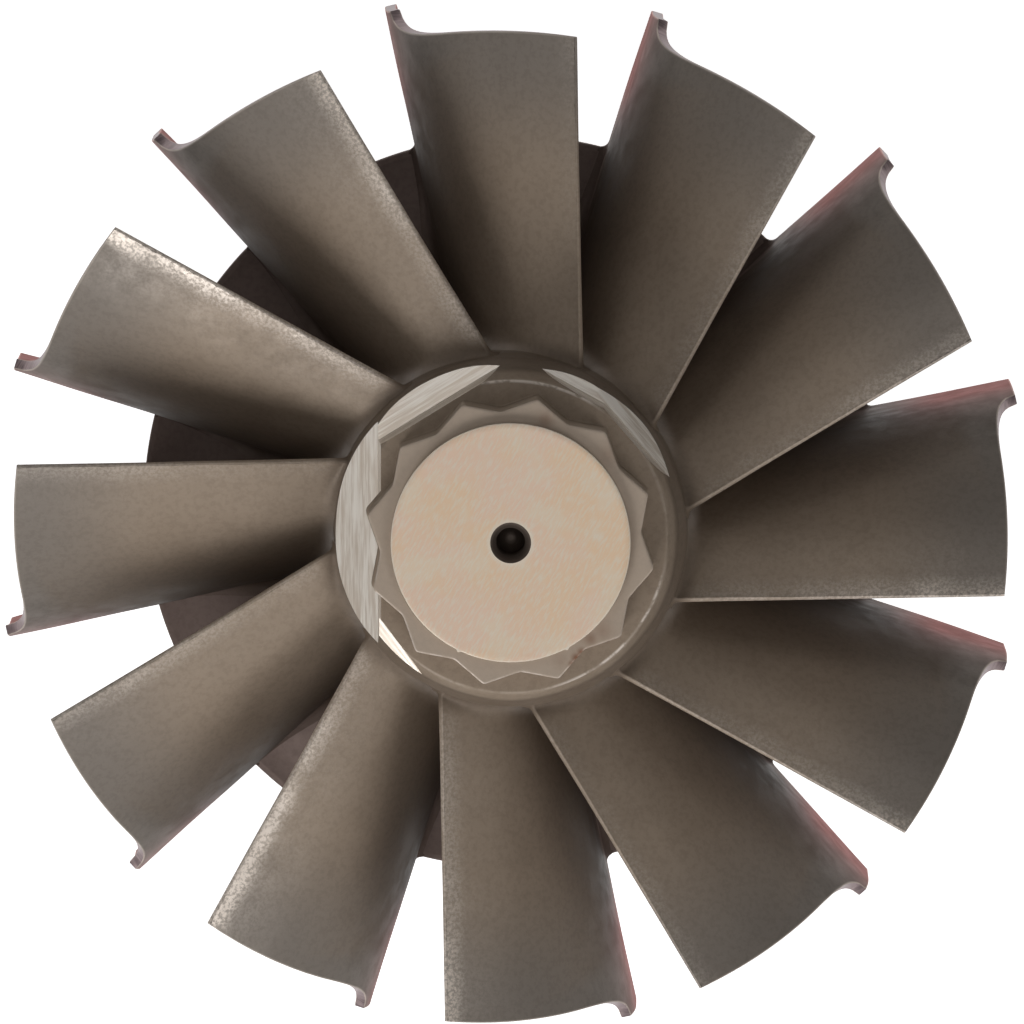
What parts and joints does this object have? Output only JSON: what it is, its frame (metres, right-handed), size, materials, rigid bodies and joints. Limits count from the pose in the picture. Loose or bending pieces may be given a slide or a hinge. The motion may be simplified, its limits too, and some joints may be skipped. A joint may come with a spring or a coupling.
{
  "type": "turbocharger turbine wheel",
  "caption": "Cast radial-inflow turbine wheel with twisted blades, a cut-back disc with a conical back, a twelve-point nose and a weld boss behind",
  "frame": {"origin": "centre of the flat end of the weld boss, on the wheel's axis; the wheel lies on this boss with its nose up", "axes": "+Z along the axis from the weld boss to the nose; +X and +Y across it, with +Y up in the picture"},
  "size_m": [0.1074, 0.1074, 0.0623],
  "materials": {
    "cast_nickel_alloy": "investment-cast nickel alloy, fine sandy grain with a warm grey-brown heat tint, with a turned nose face and ground balance flats"
  },
  "bodies": {
    "root": {"turbine_wheel": "cast_nickel_alloy"}
  },
  "joints": []
}
